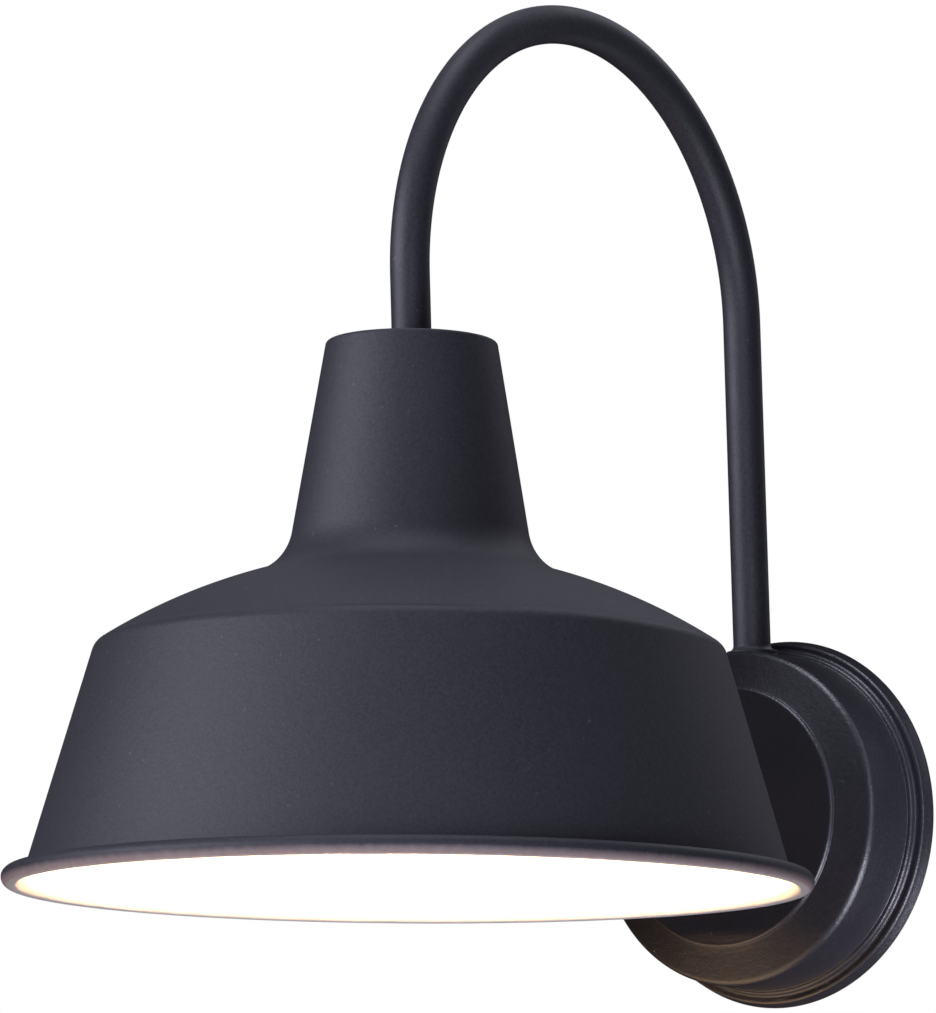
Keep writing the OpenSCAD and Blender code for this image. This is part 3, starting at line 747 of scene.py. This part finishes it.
def make_filament_leads(material, low_z, high_z, half):
    """Bent wires that hold the filament, one at each end of its half length."""
    lead_r, bend_r, inner_end = 0.3 * MM, 2 * MM, 2.9 * MM
    top = high_z - lead_r
    for name, way in (("left", -1), ("right", 1)):
        lead = [SHADE_AXIS + Vector((way * half, 0, low_z))]
        for degrees in range(0, 91, 10):
            a = math.radians(degrees)
            out = half - bend_r * (1 - math.cos(a))
            lead.append(SHADE_AXIS + Vector((way * out, 0, top - bend_r * (1 - math.sin(a)))))
        lead.append(SHADE_AXIS + Vector((way * inner_end, 0, top)))
        dress(sweep("filament_lead_" + name, lead, lead_r, 16), material, "lamp", "tungsten")


def curve(a, b, c, d, steps):
    """Points along a cubic curve that leaves a towards b and reaches d from c."""
    points = []
    for i in range(steps + 1):
        t = i / steps
        s = 1 - t
        points.append(s ** 3 * a + 3 * s * s * t * b + 3 * s * t * t * c + t ** 3 * d)
    return points


def wire_nut_axis(way, z):
    """Point at height z on the axis of the connector at one side."""
    return Vector((way * (WIRE_NUT_HIGH.x - WIRE_NUT_R), centre_of("wire_nuts").y, z))


def make_supply_wire(name, node, way, material, slot):
    """Wire from its connector up the arm, over the bend and down to its terminal."""
    side = way * WIRE_OFFSET * X
    nut = wire_nut_axis(way, -16 * MM)
    terminal = Vector((way * 8.6 * MM, SHADE_AXIS.y, 142.3 * MM))
    nipple = SHADE_AXIS + side + 158 * MM * Z

    def rear(z):
        """Point of the wire at height z in the rear leg."""
        return rear_leg(z) + side

    path = curve(nut, nut + 34 * MM * Z, rear(32 * MM), rear(50 * MM), 24)
    path += [rear(80 * MM), rear(120 * MM), rear(160 * MM)]
    path += [point + side for point in bend_points(60)]
    path.append(arm_plane(-BEND_R, leg_height(NECK_TOP_Z + 16 * MM, -BEND_R)) + side)
    path += curve(nipple, nipple - 15 * MM * Z, terminal - way * 3.6 * MM * X, terminal, 14)
    dress(sweep(name, path, WIRE_R, 20), material, "root", slot, node)


def make_wire_nuts(material):
    """Fluted twist-on connectors, one at each supply wire."""
    nose_r, nose_round, nose_end = 3 * MM, 1 * MM, -2 * MM
    grip_r, grip_top, flute_top, flute_depth = 6.9 * MM, 14 * MM, 13.5 * MM, 0.5 * MM
    lip_r, lip_round, mouth = 6.4 * MM, 0.6 * MM, 18 * MM
    bore_r, bore_end = 4 * MM, 4 * MM
    for name, way in (("left", -1), ("right", 1)):
        origin = wire_nut_axis(way, -32 * MM)
        outline = linked(
            [Vector((0, nose_end))],
            arc((nose_r, nose_end + nose_round), nose_round, -90, -10, 6),
            [Vector((grip_r, grip_top))],
            arc((lip_r, mouth - lip_round), lip_round, 0, 90, 5),
            [Vector((bore_r, mouth))],
            [Vector((bore_r, bore_end))],
            [Vector((0, bore_end))],
            steps=12,
        )
        piece = lathe("wire_nut_" + name, outline, origin, Z, 192, sharp=60)
        ripple(piece, origin, Z, 0, flute_top, flute_depth, bore_r + 0.1 * MM, count=16)
        dress(piece, material, "root", "wire_nut_plastic", "wire_nuts")


def make_gasket(material):
    """Foam ring behind the canopy's rim, its edges soft."""
    low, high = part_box("canopy_gasket")
    outer, width, thick, soft = high.x, 10 * MM, high.y - low.y, 0.8 * MM
    outline = linked(
        arc((outer - soft, thick - soft), soft, 0, 90, 6),
        arc((outer - width + soft, thick - soft), soft, 90, 180, 6),
        [Vector((outer - width, 0))],
        [Vector((outer, 0))],
        steps=4,
    )
    piece = lathe("gasket_foam", outline, ORIGIN, -Y, 192, closed=True)
    dress(piece, material, "root", "foam", "canopy_gasket")


# ---------------------------------------------------------------- build

LAMP_COLOUR = (1.0, 0.60, 0.30)
LAMP_STRENGTH = 290.0
ARM_POWDER = powder_black("powder_satin", 0.48)
POWDER = powder_black("powder_black", 0.35, tone=0.45, peel_height=0.00024)
make_shade(shade_coat("shade_coat"))
make_arm(ARM_POWDER)
make_canopy(POWDER)
make_foot_collar(ARM_POWDER)
make_bulb(lit_glass("lamp_glow", LAMP_COLOUR, LAMP_STRENGTH))

# The finish of each material slot: colour, roughness, then the scale and strength of its grain
FINISHES = {
    "black_paint": POWDER,
    "foam": open_foam("foam", (0.045, 0.045, 0.047)),
    "zinc_plate": plain_metal("zinc_plate", (0.62, 0.60, 0.55), 0.32),
    "green_plate": plain_metal("green_plate", (0.05, 0.32, 0.14), 0.35),
    "seal_rubber": soft_solid("seal_rubber", (0.02, 0.02, 0.02), 0.7),
    "plain_steel": plain_metal("plain_steel", (0.55, 0.55, 0.56), 0.3),
    "yellow_brass": plain_metal("yellow_brass", (0.80, 0.58, 0.26), 0.28),
    "glazed_body": soft_solid("glazed_body", (0.88, 0.87, 0.82), 0.12, 90, 0.1),
    "shell_metal": plain_metal("shell_metal", (0.80, 0.80, 0.82), 0.25),
    "stem_glass": soft_solid("stem_glass", (0.8, 0.82, 0.82), 0.1, 200, 0.05),
    "tungsten": plain_metal("tungsten", (0.35, 0.33, 0.32), 0.4),
    "dark_glass": soft_solid("dark_glass", (0.015, 0.015, 0.02), 0.15, 300, 0.1),
    "solder": plain_metal("solder", (0.6, 0.61, 0.63), 0.35),
    "black_insulation": soft_solid("black_insulation", (0.02, 0.02, 0.02), 0.5),
    "white_insulation": soft_solid("white_insulation", (0.8, 0.8, 0.78), 0.5),
    "bare_copper": plain_metal("bare_copper", (0.80, 0.40, 0.22), 0.3),
    "wire_nut_plastic": soft_solid("wire_nut_plastic", (0.75, 0.25, 0.04), 0.4),
}


def make_small_pieces():
    """The turned, threaded, coiled and moulded pieces, each in the finish of its slot."""
    make_cap_nut(POWDER)
    make_pipe_threads(FINISHES["zinc_plate"])
    make_lamp_shell(FINISHES["shell_metal"])
    make_filament(FINISHES["tungsten"])
    black, white = FINISHES["black_insulation"], FINISHES["white_insulation"]
    make_supply_wire("supply_black", "wire_black", -1, black, "black_insulation")
    make_supply_wire("supply_white", "wire_white", 1, white, "white_insulation")
    make_wire_nuts(FINISHES["wire_nut_plastic"])
    make_gasket(FINISHES["foam"])


def dress_cad_nodes():
    """Gives every CAD node that still shows the finish of its slot, and breaks its edges."""
    bevel_from, sharp_from = math.radians(40), math.radians(35)
    for row in frame["record"]["subparts"]:
        node = frame["nodes"][row["node"]]
        if node.hide_render or row["material_slot"] not in FINISHES:
            continue
        node.data.materials.clear()
        node.data.materials.append(FINISHES[row["material_slot"]])
        bevel = node.modifiers.new("broken_edge", "BEVEL")
        bevel.width = BROKEN_EDGE
        bevel.segments = 2
        bevel.limit_method = "ANGLE"
        bevel.angle_limit = bevel_from
        bevel.harden_normals = True
        node.data.shade_smooth()
        node.data.set_sharp_from_angle(angle=sharp_from)


make_small_pieces()
dress_cad_nodes()

# ---------------------------------------------------------------- stage, light, camera

# The point that the camera and the lights are aimed at
AIM = Vector((0, SHADE_AXIS.y + 35.5 * MM, 105.3 * MM))
CAMERA_AZIMUTH = 37.7
CAMERA_ELEVATION = -8.46
CAMERA_DISTANCE = 2.414
CAMERA_ROLL = 0.33
LENS_MM = 224.1
SENSOR_MM = 36


def outward(azimuth, elevation):
    """Unit vector from the object, azimuth from -Y towards +X, in degrees."""
    a, e = math.radians(azimuth), math.radians(elevation)
    return Vector((math.sin(a) * math.cos(e), -math.cos(a) * math.cos(e), math.sin(e)))


def aimed(position, target, roll=0.0):
    """Matrix at position that looks along -Z at target."""
    turn = (target - position).to_track_quat("-Z", "Y")
    return Matrix.Translation(position) @ turn.to_matrix().to_4x4() @ Matrix.Rotation(roll, 4, "Z")


def make_camera():
    """A long lens, a little below the lantern and to its right."""
    data = bpy.data.cameras.new("camera")
    data.lens = LENS_MM
    data.sensor_width = SENSOR_MM
    data.clip_end = 50
    camera = bpy.data.objects.new("camera", data)
    bpy.context.scene.collection.objects.link(camera)
    position = AIM + CAMERA_DISTANCE * outward(CAMERA_AZIMUTH, CAMERA_ELEVATION)
    camera.matrix_world = aimed(position, AIM, math.radians(CAMERA_ROLL))
    bpy.context.scene.camera = camera


COOL = (0.85, 0.85, 1.0)
WARM = (1.0, 0.64, 0.36)


def lit_groups():
    """The lantern, the canopy behind the shade and the floor, so that each has its own lights."""
    lantern = bpy.data.collections.new("lit_lantern")
    canopy = bpy.data.collections.new("lit_canopy")
    floor = bpy.data.collections.new("lit_floor")
    apart = {"canopy_stamped": canopy, "floor": floor}
    for piece in bpy.context.scene.objects:
        if piece.type == "MESH":
            apart.get(piece.name, lantern).objects.link(piece)
    return lantern, canopy, floor


def softbox(name, azimuth, elevation, power, group, size=1.2, colour=COOL):
    """Square light of a power in watts, aimed at the lantern, that lights one group alone."""
    distance = 2.2
    data = bpy.data.lights.new(name, "AREA")
    data.size = size
    data.energy = power
    data.color = colour
    light = bpy.data.objects.new(name, data)
    bpy.context.scene.collection.objects.link(light)
    light.matrix_world = aimed(AIM + distance * outward(azimuth, elevation), AIM)
    light.visible_camera = False
    light.light_linking.receiver_collection = group


def floor_light(group):
    """Even light from above that keeps the floor pale."""
    strength, width = 3.1, 25
    data = bpy.data.lights.new("floor_light", "SUN")
    data.energy = strength
    data.angle = math.radians(width)
    light = bpy.data.objects.new("floor_light", data)
    bpy.context.scene.collection.objects.link(light)
    light.light_linking.receiver_collection = group


def make_floor():
    """Plain pale floor, well below the lantern. It throws no light back up at the object."""
    drop, half = -5.5, 18.0
    corners = [(-half, -half, drop), (half, -half, drop), (half, half, drop), (-half, half, drop)]
    floor = new_piece("floor", corners, [[0, 1, 2, 3]])
    floor.data.materials.append(soft_solid("floor_paint", (0.9, 0.9, 0.9), 0.8, 20, 0.004))
    floor.visible_diffuse = False
    floor.visible_glossy = False


def make_world():
    """White to the camera, and a very dim even light on the object."""
    world = bpy.data.worlds.new("studio")
    bpy.context.scene.world = world
    world.use_nodes = True
    tree = world.node_tree
    lit = tree.nodes["Background"]
    lit.inputs["Color"].default_value = (0.93, 0.95, 1.0, 1)
    lit.inputs["Strength"].default_value = 0.01
    seen = tree.nodes.new("ShaderNodeBackground")
    seen.inputs["Color"].default_value = (1, 1, 1, 1)
    path = tree.nodes.new("ShaderNodeLightPath")
    mix = tree.nodes.new("ShaderNodeMixShader")
    tree.links.new(path.outputs["Is Camera Ray"], mix.inputs["Fac"])
    tree.links.new(lit.outputs["Background"], mix.inputs[1])
    tree.links.new(seen.outputs["Background"], mix.inputs[2])
    tree.links.new(mix.outputs["Shader"], tree.nodes["World Output"].inputs["Surface"])


make_camera()
make_floor()
make_world()
LANTERN, CANOPY, FLOOR = lit_groups()
floor_light(FLOOR)

# Name, azimuth, elevation, watts and group
softbox("key", -42, 15, 22, LANTERN)
softbox("key_right", -15, 15, 18, LANTERN)
softbox("front_right", 45, -15, 14, LANTERN)
softbox("front_low", 45, -45, 19, LANTERN)
softbox("top", 0, 85, 17, LANTERN, size=1.6)
softbox("rim_left", -135, 45, 2, LANTERN)
softbox("behind", 172, 15, 2.5, LANTERN, size=1.6)
softbox("behind_high", 178, 42, 5, LANTERN)
softbox("behind_low", 175, -42, 3, LANTERN)
softbox("bounce", -50, -65, 6, LANTERN, size=1.6, colour=WARM)
softbox("canopy_key", -10, 40, 4, CANOPY)
softbox("canopy_top", 25, 74, 44, CANOPY)
softbox("canopy_side", 105, 40, 7, CANOPY)
softbox("canopy_low", 100, -42, 36, CANOPY)
softbox("canopy_line", 74, -36, 42, CANOPY, size=0.5)
softbox("canopy_line_high", 76, 8, 9, CANOPY, size=0.5)
softbox("canopy_bounce", -62, -60, 34, CANOPY, size=2.0, colour=WARM)
softbox("canopy_back", 180, 5, 5, CANOPY)
bpy.context.scene.view_settings.view_transform = "Standard"
bpy.context.scene.cycles.use_denoising = True
